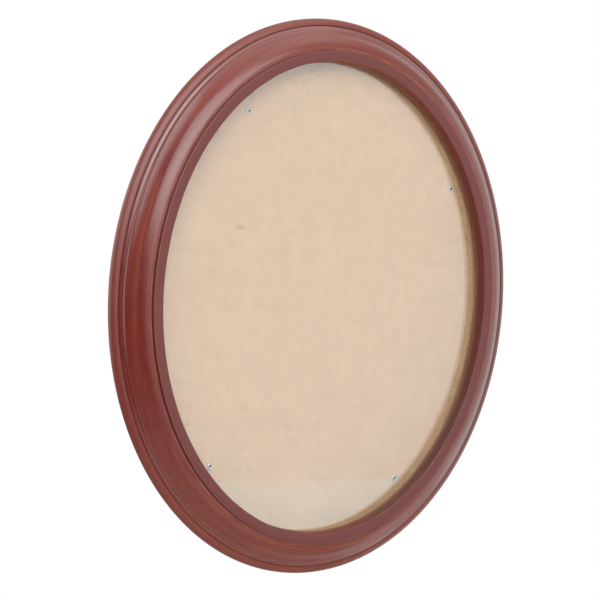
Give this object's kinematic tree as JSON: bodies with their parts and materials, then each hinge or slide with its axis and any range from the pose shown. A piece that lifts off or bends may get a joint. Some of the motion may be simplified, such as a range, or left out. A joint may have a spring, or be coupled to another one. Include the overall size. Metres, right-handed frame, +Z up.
{
  "type": "oval picture frame",
  "caption": "Oval wall picture frame: ogee wooden moulding with flat glass, a hardboard back held by riveted turn buttons, and a keyhole hanger plate let into the back.",
  "frame": {"origin": "centre of the keyhole plate's entry hole, on the plane of the wall that the frame hangs on", "axes": "+Z up the oval's long axis, +Y out of the back into the wall, -Y towards the viewer, +X to the viewer's right"},
  "size_m": [0.3302, 0.024, 0.4064],
  "materials": {
    "moulding": "satin red-brown lacquered stain",
    "glass": "clear polished",
    "hardboard": "bare pressed board",
    "button_steel": "zinc plated",
    "rivet_steel": "zinc plated",
    "hanger_steel": "zinc plated",
    "screw_steel": "yellow zinc"
  },
  "bodies": {
    "frame": {"rail_top": "moulding", "rail_right": "moulding", "rail_bottom": "moulding", "rail_left": "moulding", "glass_pane": "glass", "backing_board": "hardboard", "rivet_upper_right": "rivet_steel", "rivet_upper_left": "rivet_steel", "rivet_lower_left": "rivet_steel", "rivet_lower_right": "rivet_steel", "hanger_plate": "hanger_steel", "hanger_screw_left": "screw_steel", "hanger_screw_right": "screw_steel"},
    "turn_button_upper_right": {"turn_button_upper_right": "button_steel"},
    "turn_button_upper_left": {"turn_button_upper_left": "button_steel"},
    "turn_button_lower_left": {"turn_button_lower_left": "button_steel"},
    "turn_button_lower_right": {"turn_button_lower_right": "button_steel"}
  },
  "joints": [
    {"name": "turn_upper_right", "type": "hinge", "parent": "frame", "child": "turn_button_upper_right", "pos_m": [0.10649, -0.0055, -0.09933], "axis": [0, 1, 0], "continuous": true},
    {"name": "turn_upper_left", "type": "hinge", "parent": "frame", "child": "turn_button_upper_left", "pos_m": [-0.06829, -0.0055, -0.05621], "axis": [0, 1, 0], "continuous": true},
    {"name": "turn_lower_left", "type": "hinge", "parent": "frame", "child": "turn_button_lower_left", "pos_m": [-0.08088, -0.0055, -0.31125], "axis": [0, 1, 0], "continuous": true},
    {"name": "turn_lower_right", "type": "hinge", "parent": "frame", "child": "turn_button_lower_right", "pos_m": [0.07411, -0.0055, -0.31802], "axis": [0, 1, 0], "continuous": true}
  ]
}
